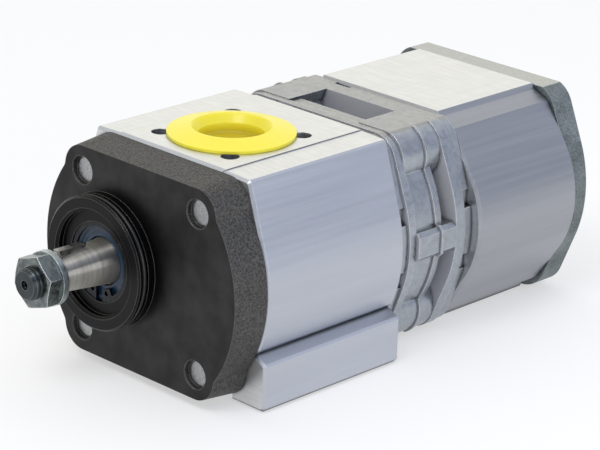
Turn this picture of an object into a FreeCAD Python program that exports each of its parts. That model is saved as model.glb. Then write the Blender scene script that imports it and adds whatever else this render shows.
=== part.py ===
import FreeCAD, Part
import math
import os
import Sketcher

# Tandem external gear pump, in millimetres.
# The origin is on the drive shaft's axis at the front cover's mounting face.
# +X runs from the shaft end towards the rear pump, +Z is up, at the inlet port,
# and the driven gears lie beside the drive gears on the -Y side.

SIZES = {
    # stack of housings along the shaft
    "cover_thick": 15.1,
    "front_body_long": 69.4,
    "middle_long": 37.2,
    "rear_body_long": 55.4,
    "rear_cover_thick": 11.3,
    # what all housings share
    "gear_spacing": 32.0,
    "bolt_pitch": 60.0,
    "bolt_dia": 10.0,
    "bolt_slack": 0.5,
    "foot_low": 42.8,
    "dowel_dia": 5.0,
    "dowel_long": 9.0,
    "dowel_reach": 44.0,
    "seat_slack": 0.02,
    # front cover
    "cover_side_wall": 5.5,
    "cover_lobe": 9.3,
    "cover_blend": 4.0,
    "cover_side_draft": 0.5,
    "cover_lobe_draft": 1.5,
    "pilot_dia": 50.0,
    "pilot_high": 7.4,
    "pilot_chamfer": 0.7,
    "ring_groove_back": 3.0,
    "ring_groove_wide": 2.6,
    "ring_groove_deep": 1.7,
    "recess_dia": 39.0,
    "recess_deep": 3.0,
    "recess_chamfer": 1.0,
    "seal_bore_dia": 30.0,
    "seal_thick": 7.0,
    "seal_wall": 1.7,
    "seal_lip_slack": 0.08,
    "shaft_hole_slack": 0.6,
    "clip_thick": 1.2,
    "clip_bite": 0.7,
    "clip_wide": 2.6,
    "clip_setback": 0.4,
    "clip_ear": 2.8,
    "clip_hole_dia": 2.0,
    "clip_gap": 3.6,
    "clip_ear_angle": 30.0,
    "bolt_end_setback": 2.0,
    "thread_relief": 0.2,
    "hole_chamfer": 0.3,
    "bolt_end_chamfer": 0.75,
    # front pump body
    "inlet_place": 29.6,
    "inlet_dia": 27.0,
    "inlet_circle": 51.0,
    "inlet_thread_dia": 6.8,
    "inlet_thread_deep": 14.0,
    "front_pad_high": 41.8,
    "front_pad_half": 27.2,
    "strip_drop": 0.35,
    "strip_slope_drop": 0.4,
    "strip_half": 38.9,
    "front_side_wall": 6.3,
    "front_flank_angle": 18.0,
    "front_arc_low": 20.4,
    "foot_notch_half": 44.0,
    "foot_notch_low": 22.2,
    "foot_top": 24.6,
    "foot_half": 49.7,
    "foot_chamfer": 1.6,
    "foot_inner_half": 32.6,
    "front_belly": 41.0,
    "edge_chamfer": 1.0,
    "rear_cover_chamfer": 0.6,
    # rear pump body
    "rear_pad_high": 41.3,
    "rear_pad_half": 29.6,
    "shoulder_half": 31.2,
    "shoulder_high": 39.4,
    "band_half": 37.9,
    "band_high": 36.4,
    "rear_side_wall": 10.3,
    "rear_flank_angle": 33.0,
    # middle housing
    "front_flange": 7.5,
    "front_flange_wall": 5.3,
    "front_flange_lobe": 10.4,
    "rear_flange": 9.5,
    "rear_flange_wall": 6.8,
    "rear_flange_lobe": 11.6,
    "middle_top": 40.7,
    "front_step": 4.0,
    "rear_step": 4.6,
    "step_in": 1.0,
    "core_radius": 19.0,
    "coupling_hole_slack": 0.6,
    "boss_radius": 11.2,
    "shelf_in": 18.0,
    "shelf_slope": 4.0,
    "shelf_deep": 10.0,
    "wall_out": 3.7,
    "wall_thick": 3.6,
    "wall_long": 15.4,
    "wall_half_high": 26.0,
    "web_half": 3.2,
    "side_boss_in": 4.2,
    "side_boss_out": 6.8,
    "side_boss_half": 5.5,
    "side_boss_corner": 1.6,
    "rib_place": 19.0,
    "rib_long": 1.0,
    "rib_high": 0.7,
    "gallery_wall": 3.0,
    "end_wall_thick": 5.6,
    "end_wall_drop": 0.8,
    "notch_deep": 4.2,
    "notch_low": 9.2,
    "notch_high": 15.6,
    "front_notch_long": 4.0,
    "rear_notch_long": 4.2,
    "slot_near": 12.9,
    "slot_far": 21.1,
    "slot_deep": 2.6,
    "front_slot_long": 4.3,
    "rear_slot_long": 2.4,
    # rear cover
    "rear_cover_wall": 6.9,
    "rear_cover_lobe": 11.8,
    "rear_cover_top": 40.9,
    "head_sink": 4.5,
    # outlets on the underside
    "front_outlet_dia": 18.0,
    "front_outlet_circle": 40.0,
    "rear_outlet_dia": 15.0,
    "rear_outlet_circle": 35.0,
    "outlet_thread_dia": 5.0,
    "outlet_thread_deep": 12.0,
    # passages from the inlet to the rear pump
    "gallery_dia": 16.0,
    "gallery_high": 22.0,
    # gears and shafts
    "teeth": 12,
    "pressure_angle": 28.0,
    "backlash": 0.24,
    "root_slack": 0.4,
    "tip_slack": 0.08,
    "front_gear_wide": 26.0,
    "rear_gear_wide": 19.0,
    "side_slack": 0.05,
    "journal_dia": 18.0,
    "running_slack": 0.05,
    "bush_wall": 1.2,
    "bush_short": 2.0,
    "journal_short": 1.0,
    "taper_start": 2.0,
    "taper_big_dia": 17.0,
    "taper_long": 24.0,
    "taper_lead": 1.0,
    "taper_ratio": 5.0,
    "thread_dia": 12.0,
    "stub_end": 38.5,
    "stub_chamfer": 1.0,
    "centre_hole_dia": 3.6,
    "centre_hole_deep": 4.0,
    "key_place": 17.7,
    "key_dia": 13.0,
    "key_wide": 3.0,
    "key_high": 5.0,
    "key_top": 9.4,
    "washer_dia": 20.2,
    "washer_thick": 2.5,
    "washer_gap": 2.0,
    "washer_setback": 0.5,
    "nut_flats": 18.0,
    "nut_high": 6.2,
    "nut_turn": 12.7,
    "tongue_dia": 16.0,
    "tongue_flats": 10.0,
    "front_tongue_long": 15.5,
    "rear_tongue_long": 15.5,
    "coupling_dia": 26.0,
    "coupling_long": 26.0,
    # bearing blocks and seals
    "block_slack": 0.02,
    "block_seal_out": 16.6,
    "block_seal_in": 14.9,
    "block_seal_deep": 1.8,
    "block_seal_low": 9.0,
    "ring_path": 21.6,
    "ring_over": 2.5,
    "ring_wide": 2.2,
    "ring_deep": 1.6,
    # tie bolts
    "head_dia": 16.0,
    "head_high": 7.0,
    "head_slack": 0.75,
    "socket_flats": 8.0,
    "socket_deep": 4.0,
    # inlet plug
    "plug_dia": 47.0,
    "plug_edge": 1.1,
    "plug_rim_dia": 30.4,
    "plug_rim_high": 3.2,
    "plug_cup_dia": 28.0,
    "plug_throat_dia": 24.4,
    "plug_cup_deep": 6.8,
    "plug_floor_dia": 23.0,
    "plug_skin": 1.4,
    "plug_skirt": 7.8,
    "plug_slack": 0.1,
}

doc = FreeCAD.newDocument("tandem_gear_pump")
sheet = doc.addObject("Spreadsheet::Sheet", "Sizes")
for row, (alias, number) in enumerate(SIZES.items(), 1):
    sheet.set(f"A{row}", alias)
    sheet.set(f"B{row}", str(number))
    sheet.setAlias(f"B{row}", alias)
doc.recompute()

nodes = []


def S(text):
    """Formula text in which each word that is a size gets the sheet's name in front."""
    words = []
    word = ""
    for sign in text + " ":
        if sign.isalnum() or sign in "_.":
            word += sign
            continue
        words.append(f"Sizes.{word}" if word in SIZES else word)
        words.append(sign)
        word = ""
    return "".join(words).strip()


def value(text):
    """Present value of a formula of sizes, in millimetres or degrees."""
    return float(sheet.evalExpression(S(text)))


# places along X, as formulas of the stack
FRONT_BODY_AT = "cover_thick"
MIDDLE_AT = "(cover_thick + front_body_long)"
REAR_BODY_AT = f"({MIDDLE_AT} + middle_long)"
REAR_COVER_AT = f"({REAR_BODY_AT} + rear_body_long)"
REAR_END = f"({REAR_COVER_AT} + rear_cover_thick)"
INLET_X = "(cover_thick + inlet_place)"
REAR_GEAR_MIDDLE = f"({REAR_BODY_AT} + rear_body_long / 2)"

# places across, as formulas
MIDDLE_Y = "(-gear_spacing / 2)"
BOLT_HALF = "(bolt_pitch / 2)"
TIP_RADIUS = "(gear_spacing / 2 + gear_spacing / teeth)"
BORE_RADIUS = f"({TIP_RADIUS} + tip_slack)"
FRONT_FLANGE_RADIUS = "(dowel_reach + front_flange_wall)"
REAR_FLANGE_RADIUS = "(dowel_reach + rear_flange_wall)"
SIDES = (1, -1)


def new_body(name, loose_pieces=False):
    """A sub-part made feature by feature, of several like pieces where that is asked for."""
    body = doc.addObject("PartDesign::Body", name)
    body.Label = name
    body.AllowCompound = loose_pieces
    nodes.append(body)
    return body


def new_sketch(body, plane, offset, name):
    """An empty sketch on one of the body's own origin planes, moved along its normal."""
    flat = [piece for piece in body.Origin.OriginFeatures if piece.Role == plane][0]
    sketch = body.newObject("Sketcher::SketchObject", name)
    sketch.AttachmentSupport = (flat, [""])
    sketch.MapMode = "FlatFace"
    sketch.setExpression("AttachmentOffset.Base.z", S(offset))
    return sketch


def bind(sketch, rule, text):
    """Tie one driving constraint of a sketch to a formula of sizes."""
    place = sketch.addConstraint(rule)
    sketch.setExpression(f"Constraints[{place}]", S(text))


def add_loop(sketch, corners):
    """A closed loop of straight lines whose corners are all bound to sizes."""
    spots = [FreeCAD.Vector(value(across), value(up), 0) for across, up in corners]
    first = sketch.GeometryCount
    count = len(spots)
    for i in range(count):
        sketch.addGeometry(Part.LineSegment(spots[i], spots[(i + 1) % count]))
    for i in range(count):
        sketch.addConstraint(Sketcher.Constraint("Coincident", first + i, 2, first + (i + 1) % count, 1))
    for i, (across, up) in enumerate(corners, first):
        spot = spots[i - first]
        bind(sketch, Sketcher.Constraint("DistanceX", -1, 1, i, 1, spot.x), across)
        bind(sketch, Sketcher.Constraint("DistanceY", -1, 1, i, 1, spot.y), up)


def polygon(body, plane, offset, name, corners):
    """A sketch of one closed loop of straight lines."""
    sketch = new_sketch(body, plane, offset, name)
    add_loop(sketch, corners)
    return sketch


def circles(body, plane, offset, name, rounds):
    """Circles whose centres and radii are all bound to sizes."""
    sketch = new_sketch(body, plane, offset, name)
    up_normal = FreeCAD.Vector(0, 0, 1)
    for across, up, radius in rounds:
        spot = FreeCAD.Vector(value(across), value(up), 0)
        i = sketch.addGeometry(Part.Circle(spot, up_normal, value(radius)))
        bind(sketch, Sketcher.Constraint("DistanceX", -1, 1, i, 3, spot.x), across)
        bind(sketch, Sketcher.Constraint("DistanceY", -1, 1, i, 3, spot.y), up)
        bind(sketch, Sketcher.Constraint("Radius", i, value(radius)), radius)
    return sketch


def outline(body, plane, offset, name, curves):
    """A closed outline of lines and arcs that a function worked out from the sizes."""
    sketch = new_sketch(body, plane, offset, name)
    for curve in curves:
        sketch.addGeometry(curve)
    return sketch


def pad(body, sketch, length, reverse=False):
    """Material grown from a sketch, along its normal unless reversed."""
    feature = body.newObject("PartDesign::Pad", f"{sketch.Label}_pad")
    feature.Profile = sketch
    feature.setExpression("Length", S(length))
    feature.Reversed = reverse
    feature.Refine = False
    return feature


def cut_check(body, before, feature):
    """A cut that misses the solid shows no error, so the volume is compared."""
    doc.recompute()
    if body.Shape.Volume > before - 1e-3:
        raise RuntimeError(f"{feature.Label} cuts nothing")
    return feature


def pocket(body, sketch, depth, reverse=False, both_ways=False):
    """Material removed from a sketch, against its normal unless reversed."""
    doc.recompute()
    before = body.Shape.Volume
    feature = body.newObject("PartDesign::Pocket", f"{sketch.Label}_cut")
    feature.Profile = sketch
    feature.setExpression("Length", S(depth))
    feature.Reversed = reverse
    feature.Midplane = both_ways
    feature.Refine = False
    return cut_check(body, before, feature)


def turn(body, name, corners):
    """A ring or shaft turned about the X axis of its body's frame, from (x, radius) corners."""
    sketch = polygon(body, "XZ_Plane", "0", name, corners)
    feature = body.newObject("PartDesign::Revolution", f"{name}_turned")
    feature.Profile = sketch
    feature.ReferenceAxis = (sketch, ["H_Axis"])
    feature.Angle = 360
    doc.recompute()
    return feature


def turned_cut(body, name, corners):
    """A recess turned about the X axis, from (x, radius) corners."""
    doc.recompute()
    before = body.Shape.Volume
    sketch = polygon(body, "XZ_Plane", "0", name, corners)
    feature = body.newObject("PartDesign::Groove", f"{name}_groove")
    feature.Profile = sketch
    feature.ReferenceAxis = (sketch, ["H_Axis"])
    feature.Angle = 360
    return cut_check(body, before, feature)


def chamfer_face(body, normal_x, at, size):
    """Break the outer edges of the end face that lies at the given X."""
    doc.recompute()
    base = body.Tip
    edges = []
    for face in base.Shape.Faces:
        box = face.BoundBox
        if box.XLength > 1e-4 or abs(box.XMin - value(at)) > 1e-4:
            continue
        if abs(face.normalAt(0, 0).x - normal_x) > 1e-3:
            continue
        edges += [edge.hashCode() for edge in face.OuterWire.Edges]
    names = [f"Edge{i}" for i, edge in enumerate(base.Shape.Edges, 1) if edge.hashCode() in edges]
    feature = body.newObject("PartDesign::Chamfer", f"{body.Label}_{name_of(normal_x)}_edge")
    feature.Base = (base, names)
    feature.setExpression("Size", S(size))
    doc.recompute()
    return feature


def name_of(normal_x):
    """Word for the end that a normal along X belongs to."""
    return "rear" if normal_x > 0 else "front"


def arc(centre, radius, start, end):
    """Arc in the sketch plane about a centre, anticlockwise between two angles in degrees."""
    ring = Part.Circle(FreeCAD.Vector(centre[0], centre[1], 0), FreeCAD.Vector(0, 0, 1), radius)
    return Part.ArcOfCircle(ring, math.radians(start), math.radians(end))


def line(first, second):
    """Straight edge in the sketch plane."""
    return Part.LineSegment(FreeCAD.Vector(*first, 0), FreeCAD.Vector(*second, 0))


def on_circle(centre, radius, angle):
    """Point of a circle at an angle in degrees."""
    turned = math.radians(angle)
    return (centre[0] + radius * math.cos(turned), centre[1] + radius * math.sin(turned))


def angle_of(centre, spot):
    """Angle in degrees at which a point lies, seen from a centre."""
    return math.degrees(math.atan2(spot[1] - centre[1], spot[0] - centre[0]))


def round_plate(side_radius, top, bottom):
    """Plate whose round sides are so wide that no bolt stands out of them, flat at top and bottom."""
    centre = (value(MIDDLE_Y), 0.0)
    high = math.degrees(math.asin(top / side_radius))
    low = math.degrees(math.asin(bottom / side_radius))
    curves = [arc(centre, side_radius, -low, high), arc(centre, side_radius, 180 - high, 180 + low)]
    for angle, height in ((high, top), (low, -bottom)):
        edge = side_radius * math.cos(math.radians(angle))
        curves.append(line((centre[0] - edge, height), (centre[0] + edge, height)))
    return curves


def waisted_plate(side_radius, lobe, blend):
    """Cover outline: round sides, a lobe about each bolt, a small hollow blend between them."""
    half = value(BOLT_HALF)
    middle = value(MIDDLE_Y)
    away = side_radius + blend
    near = lobe + blend
    reach = math.hypot(half, half)
    if away - near >= reach:
        return round_plate(side_radius, half + lobe, half + lobe)
    turned = math.degrees(math.acos((reach**2 + away**2 - near**2) / (2 * reach * away)))
    low = 45 - turned
    curves = []
    for sign in SIDES:
        centre = (middle, 0.0)
        bolt_at = (middle + sign * half, half)
        blend_at = on_circle(centre, away, low if sign > 0 else 180 - low)
        meet = angle_of(bolt_at, blend_at)
        out = angle_of(centre, blend_at)
        if sign > 0:
            curves += [arc(centre, side_radius, -out, out)]
            curves += [arc(blend_at, blend, meet + 180, out + 180)]
            curves += [arc((blend_at[0], -blend_at[1]), blend, 180 - out, 180 - meet)]
            curves += [arc(bolt_at, lobe, meet, 90)]
            curves += [arc((bolt_at[0], -half), lobe, -90, -meet)]
        else:
            curves += [arc(centre, side_radius, out, 360 - out)]
            curves += [arc(blend_at, blend, out - 180, meet - 180)]
            curves += [arc((blend_at[0], -blend_at[1]), blend, 180 - meet, 180 - out)]
            curves += [arc(bolt_at, lobe, 90, meet)]
            curves += [arc((bolt_at[0], -half), lobe, 360 - meet, 270)]
    for up in SIDES:
        edge = up * (half + lobe)
        curves.append(line((middle - half, edge), (middle + half, edge)))
    return curves


def flanked_plate(side_radius, lobe, top):
    """Flange outline: round sides, straight flanks to a lobe about each bolt, flat top and bottom."""
    half = value(BOLT_HALF)
    middle = value(MIDDLE_Y)
    reach = math.hypot(half, half)
    rise = min(top - half, lobe)
    if side_radius - lobe >= reach:
        return round_plate(side_radius, half + rise, half + lobe)
    lean = 45 - math.degrees(math.acos((side_radius - lobe) / reach))
    top_turn = math.degrees(math.asin(rise / lobe))
    curves = []
    for sign in SIDES:
        away = 0 if sign > 0 else 180
        centre = (middle, 0.0)
        curves.append(arc(centre, side_radius, away - lean, away + lean))
        for up in SIDES:
            bolt_at = (middle + sign * half, up * half)
            flank_angle = lean * up if sign > 0 else 180 - lean * up
            flat_turn = top_turn if up > 0 else 90
            flat_angle = up * flat_turn if sign > 0 else 180 - up * flat_turn
            curves.append(
                line(on_circle(centre, side_radius, flank_angle), on_circle(bolt_at, lobe, flank_angle))
            )
            curves.append(arc(bolt_at, lobe, *sorted((flank_angle, flat_angle))))
    for up in SIDES:
        flat_turn = top_turn if up > 0 else 90
        edge = half + lobe * math.cos(math.radians(flat_turn))
        height = up * (half + lobe * math.sin(math.radians(flat_turn)))
        curves.append(line((middle - edge, height), (middle + edge, height)))
    return curves


def mirrored(right_side):
    """Both sides of an outline from its +Y side, given as steps about the housing's middle."""
    middle = value(MIDDLE_Y)
    curves = []
    for step in right_side:
        if step[0] == "line":
            (ax, az), (bx, bz) = step[1:]
            curves.append(line((middle + ax, az), (middle + bx, bz)))
            curves.append(line((middle - ax, az), (middle - bx, bz)))
        else:
            (cx, cz), radius, start, end = step[1:]
            curves.append(arc((middle + cx, cz), radius, start, end))
            curves.append(arc((middle - cx, cz), radius, 180 - end, 180 - start))
    return curves


def front_body_outline():
    """Extruded section: raised port pad, side strips, round flanks and two feet."""
    radius = value("dowel_reach + front_side_wall")
    lean = value("front_flank_angle")
    high = value("front_pad_high")
    pad_edge = value("front_pad_half")
    strip_in = high - value("strip_drop")
    strip_out = strip_in - value("strip_slope_drop")
    corner = value("strip_half")
    tangent = on_circle((0, 0), radius, lean)
    slope = math.radians(lean)
    flank_x = corner + 0.9
    flank_z = (radius - flank_x * math.cos(slope)) / math.sin(slope)
    low = value("front_arc_low")
    low_x = math.sqrt(radius**2 - low**2)
    notch = (value("foot_notch_half"), -value("foot_notch_low"))
    foot_x = value("foot_half")
    foot_z = -value("foot_low")
    nick = value("foot_chamfer")
    inner = value("foot_inner_half")
    belly = -value("front_belly")
    corners = [
        (pad_edge, high),
        (pad_edge, strip_in),
        (corner, strip_out),
        (flank_x, min(flank_z, strip_out - 0.6)),
        tangent,
    ]
    steps = [("line", a, b) for a, b in zip(corners, corners[1:])]
    steps.append(("arc", (0, 0), radius, angle_of((0, 0), (low_x, -low)), lean))
    top_fall = nick / 2
    lower = [
        (low_x, -low),
        notch,
        (foot_x - top_fall, -value("foot_top")),
        (foot_x, -value("foot_top") - top_fall),
        (foot_x, foot_z + nick),
        (foot_x - nick, foot_z),
        (inner, foot_z),
        (inner, belly),
    ]
    steps += [("line", a, b) for a, b in zip(lower, lower[1:])]
    curves = mirrored(steps)
    middle = value(MIDDLE_Y)
    curves.append(line((middle - pad_edge, high), (middle + pad_edge, high)))
    curves.append(line((middle - inner, belly), (middle + inner, belly)))
    return curves


def rear_body_outline():
    """Extruded section: blank pad on top, sloping shoulders, sides round about each gear."""
    wall = value("dowel_reach - gear_spacing / 2 + rear_side_wall")
    lean = value("rear_flank_angle")
    gear_at = (value("gear_spacing") / 2, 0.0)
    tangent = on_circle(gear_at, wall, lean)
    band = (value("band_half"), value("band_high"))
    pad_edge = value("rear_pad_half")
    steps = [("arc", gear_at, wall, -lean, lean)]
    for up, high in ((1, value("rear_pad_high")), (-1, value("foot_low"))):
        chain = [
            (tangent[0], up * tangent[1]),
            (band[0], up * band[1]),
            (value("shoulder_half"), up * value("shoulder_high")),
            (pad_edge, up * high),
        ]
        steps += [("line", a, b) for a, b in zip(chain, chain[1:])]
    curves = mirrored(steps)
    middle = value(MIDDLE_Y)
    for height in (value("rear_pad_high"), -value("foot_low")):
        curves.append(line((middle - pad_edge, height), (middle + pad_edge, height)))
    return curves


def figure_eight(radius):
    """Two equal circles about the gear axes, joined where they cross."""
    spacing = value("gear_spacing")
    open_angle = math.degrees(math.acos(spacing / 2 / radius))
    first = arc((0.0, 0.0), radius, open_angle - 180, 180 - open_angle)
    second = arc((-spacing, 0.0), radius, open_angle, 360 - open_angle)
    return [first, second]


def ring_line(outward):
    """Seal path round both gear bores and the gallery above them, moved outward."""
    spacing = value("gear_spacing")
    high = value("gallery_high")
    side = value("ring_path") + outward
    over = value("gallery_dia / 2 + ring_over") + outward
    apart = math.hypot(spacing / 2, high)
    lean = angle_of((0.0, 0.0), (-spacing / 2, high)) - math.degrees(math.acos((side - over) / apart))
    drive = (0.0, 0.0)
    driven = (-spacing, 0.0)
    top = (-spacing / 2, high)
    curves = [arc(drive, side, -90, lean), arc(top, over, lean, 180 - lean)]
    curves.append(arc(driven, side, 180 - lean, 270))
    curves.append(line((-spacing, -side), (0.0, -side)))
    curves.append(line(on_circle(drive, side, lean), on_circle(top, over, lean)))
    curves.append(line(on_circle(driven, side, 180 - lean), on_circle(top, over, 180 - lean)))
    return curves


def ring_curves(slack):
    """Both edges of a section seal, or of its groove when there is no slack."""
    half = value("ring_wide / 2") - slack
    return ring_line(half) + ring_line(-half)


def bolt_rounds(radius):
    """A circle about each of the four tie bolts."""
    return [
        (f"{MIDDLE_Y} + {across} * {BOLT_HALF}", f"{up} * {BOLT_HALF}", radius)
        for across in SIDES
        for up in SIDES
    ]


def dowel_rounds():
    """A circle about each of the two dowel pins of a joint."""
    return [(f"{MIDDLE_Y} + {across} * dowel_reach", "0", "dowel_dia / 2") for across in SIDES]


def drill(body, name, rounds, start, depth):
    """Round holes along +X from a plane at the given X."""
    return pocket(body, circles(body, "YZ_Plane", start, name, rounds), depth, reverse=True)


def drill_dowels(body, name, face, forward):
    """Half of a joint's dowel holes, in the face that looks forward or back."""
    start = face if forward else f"{face} - dowel_long / 2"
    return drill(body, name, dowel_rounds(), start, "dowel_long / 2")


def ring_groove(body, name, face, forward):
    """Groove for a section seal round both gear bores, sunk into an end face."""
    start = face if forward else f"{face} - ring_deep"
    groove = outline(body, "YZ_Plane", start, name, ring_curves(0.0))
    return pocket(body, groove, "ring_deep", reverse=True)


def front_cover():
    """Cast front cover with its pilot, seal recess and threaded corner holes."""
    body = new_body("front_cover")
    sections = []
    for place, name, side, lobe in (
        ("0", "cover_face", "0", "cover_lobe"),
        ("cover_thick", "cover_back", "cover_side_draft", "cover_lobe + cover_lobe_draft"),
    ):
        round_side = value(f"dowel_reach + cover_side_wall + {side}")
        curves = waisted_plate(round_side, value(lobe), value("cover_blend"))
        sections.append(outline(body, "YZ_Plane", place, name, curves))
    plate = body.newObject("PartDesign::AdditiveLoft", "cover_plate")
    plate.Profile = sections[0]
    plate.Sections = [sections[1]]
    plate.Ruled = True
    doc.recompute()
    front = "-pilot_high"
    groove_front = "-ring_groove_back - ring_groove_wide"
    groove_floor = "pilot_dia / 2 - ring_groove_deep"
    turn(
        body,
        "pilot",
        [
            ("cover_thick / 2", "0"),
            ("cover_thick / 2", "pilot_dia / 2"),
            ("-ring_groove_back", "pilot_dia / 2"),
            ("-ring_groove_back", groove_floor),
            (groove_front, groove_floor),
            (groove_front, "pilot_dia / 2"),
            (f"{front} + pilot_chamfer", "pilot_dia / 2"),
            (front, "pilot_dia / 2 - pilot_chamfer"),
            (front, "0"),
        ],
    )
    floor = f"({front} + recess_deep)"
    clip_front = f"({floor} + clip_setback)"
    clip_back = f"({clip_front} + clip_thick)"
    seal_back = f"({clip_back} + seal_thick)"
    hole = "journal_dia / 2 + shaft_hole_slack"
    turned_cut(
        body,
        "seal_recess",
        [
            (f"{front} - 1", "0"),
            (f"{front} - 1", "recess_dia / 2 + recess_chamfer + 1"),
            (f"{front} + recess_chamfer", "recess_dia / 2"),
            (floor, "recess_dia / 2"),
            (floor, "seal_bore_dia / 2"),
            (clip_front, "seal_bore_dia / 2"),
            (clip_front, "seal_bore_dia / 2 + clip_bite"),
            (clip_back, "seal_bore_dia / 2 + clip_bite"),
            (clip_back, "seal_bore_dia / 2"),
            (seal_back, "seal_bore_dia / 2"),
            (seal_back, hole),
            ("cover_thick + 1", hole),
            ("cover_thick + 1", "0"),
        ],
    )
    drill(body, "threads", bolt_rounds("bolt_dia / 2"), "0", "cover_thick")
    relief = bolt_rounds("bolt_dia / 2 + thread_relief")
    drill(body, "thread_reliefs", relief, "0", "bolt_end_setback")
    drill_dowels(body, "cover_dowels", "cover_thick", False)
    base = body.Tip
    rim = value("bolt_dia / 2 + thread_relief")
    rims = []
    for i, edge in enumerate(base.Shape.Edges, 1):
        round_edge = isinstance(edge.Curve, Part.Circle)
        if round_edge and abs(edge.Curve.Radius - rim) < 1e-4 and abs(edge.BoundBox.XMax) < 1e-4:
            rims.append(f"Edge{i}")
    mouth = body.newObject("PartDesign::Chamfer", "hole_mouths")
    mouth.Base = (base, rims)
    mouth.setExpression("Size", S("hole_chamfer"))
    doc.recompute()
    return body


def front_body():
    """Extruded front pump body with its gear bores, inlet port and underside outlet."""
    body = new_body("front_body")
    section = outline(body, "YZ_Plane", FRONT_BODY_AT, "front_section", front_body_outline())
    pad(body, section, "front_body_long")
    chamfer_face(body, -1, FRONT_BODY_AT, "edge_chamfer")
    chamfer_face(body, 1, MIDDLE_AT, "edge_chamfer")
    bores = outline(body, "YZ_Plane", FRONT_BODY_AT, "gear_bores", figure_eight(value(BORE_RADIUS)))
    pocket(body, bores, "front_body_long", reverse=True)
    drill(body, "bolt_holes", bolt_rounds("bolt_dia / 2 + bolt_slack"), FRONT_BODY_AT, "front_body_long")
    port = circles(body, "XY_Plane", "front_pad_high", "inlet", [(INLET_X, MIDDLE_Y, "inlet_dia / 2")])
    pocket(body, port, "front_pad_high - gear_spacing / 8")
    threads = port_threads(INLET_X, "inlet_circle", "inlet_thread_dia")
    pocket(body, circles(body, "XY_Plane", "front_pad_high", "inlet_threads", threads), "inlet_thread_deep")
    outlet = circles(body, "XY_Plane", "-front_belly", "outlet", [(INLET_X, MIDDLE_Y, "front_outlet_dia / 2")])
    pocket(body, outlet, "front_belly - gear_spacing / 8", reverse=True)
    threads = port_threads(INLET_X, "front_outlet_circle", "outlet_thread_dia")
    lower = circles(body, "XY_Plane", "-front_belly", "outlet_threads", threads)
    pocket(body, lower, "outlet_thread_deep", reverse=True)
    drill(
        body,
        "gallery",
        [(MIDDLE_Y, "gallery_high", "gallery_dia / 2")],
        INLET_X,
        "front_body_long - inlet_place",
    )
    ring_groove(body, "front_ring", FRONT_BODY_AT, True)
    ring_groove(body, "rear_ring", MIDDLE_AT, False)
    drill_dowels(body, "front_dowels", FRONT_BODY_AT, True)
    drill_dowels(body, "rear_dowels", MIDDLE_AT, False)
    return body


def port_threads(middle_x, circle_dia, thread_dia):
    """Four threaded holes on a port's bolt circle, at 45 degrees to the shaft."""
    return [
        (
            f"{middle_x} + {along} * {circle_dia} / 2 * sqrt(0.5)",
            f"{MIDDLE_Y} + {across} * {circle_dia} / 2 * sqrt(0.5)",
            f"{thread_dia} / 2",
        )
        for along in SIDES
        for across in SIDES
    ]


def rear_body():
    """Extruded rear pump body with its gear bores, blank top pad and underside outlet."""
    body = new_body("rear_body")
    section = outline(body, "YZ_Plane", REAR_BODY_AT, "rear_section", rear_body_outline())
    pad(body, section, "rear_body_long")
    chamfer_face(body, -1, REAR_BODY_AT, "edge_chamfer")
    bores = outline(body, "YZ_Plane", REAR_BODY_AT, "rear_gear_bores", figure_eight(value(BORE_RADIUS)))
    pocket(body, bores, "rear_body_long", reverse=True)
    drill(body, "rear_bolt_holes", bolt_rounds("bolt_dia / 2 + bolt_slack"), REAR_BODY_AT, "rear_body_long")
    outlet_spot = [(REAR_GEAR_MIDDLE, MIDDLE_Y, "rear_outlet_dia / 2")]
    outlet = circles(body, "XY_Plane", "-foot_low", "rear_outlet", outlet_spot)
    pocket(body, outlet, "foot_low - gear_spacing / 8", reverse=True)
    threads = port_threads(REAR_GEAR_MIDDLE, "rear_outlet_circle", "outlet_thread_dia")
    lower = circles(body, "XY_Plane", "-foot_low", "rear_outlet_threads", threads)
    pocket(body, lower, "outlet_thread_deep", reverse=True)
    drill(
        body,
        "rear_gallery",
        [(MIDDLE_Y, "gallery_high", "gallery_dia / 2")],
        REAR_BODY_AT,
        "rear_body_long / 2 + rear_gear_wide / 2",
    )
    feed = polygon(
        body,
        "YZ_Plane",
        f"{REAR_GEAR_MIDDLE} - rear_gear_wide / 2",
        "feed_window",
        [
            (f"{MIDDLE_Y} - gallery_dia / 3", "0"),
            (f"{MIDDLE_Y} - gallery_dia / 3", "gallery_high"),
            (f"{MIDDLE_Y} + gallery_dia / 3", "gallery_high"),
            (f"{MIDDLE_Y} + gallery_dia / 3", "0"),
        ],
    )
    pocket(body, feed, "rear_gear_wide", reverse=True)
    ring_groove(body, "rear_front_ring", REAR_BODY_AT, True)
    ring_groove(body, "rear_rear_ring", REAR_COVER_AT, False)
    drill_dowels(body, "rear_front_dowels", REAR_BODY_AT, True)
    drill_dowels(body, "rear_rear_dowels", REAR_COVER_AT, False)
    return body


def rear_cover():
    """Cast rear cover with sunk seats for the bolt heads."""
    body = new_body("rear_cover")
    radius = value("dowel_reach + rear_cover_wall")
    curves = flanked_plate(radius, value("rear_cover_lobe"), value("rear_cover_top"))
    pad(body, outline(body, "YZ_Plane", REAR_COVER_AT, "rear_plate", curves), "rear_cover_thick")
    chamfer_face(body, 1, REAR_END, "rear_cover_chamfer")
    drill(body, "cover_bolt_holes", bolt_rounds("bolt_dia / 2 + bolt_slack"), REAR_COVER_AT, "rear_cover_thick")
    seats = bolt_rounds("head_dia / 2 + head_slack")
    drill(body, "head_seats", seats, f"{REAR_END} - head_sink", "head_sink")
    drill_dowels(body, "rear_cover_dowels", REAR_COVER_AT, True)
    return body


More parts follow.
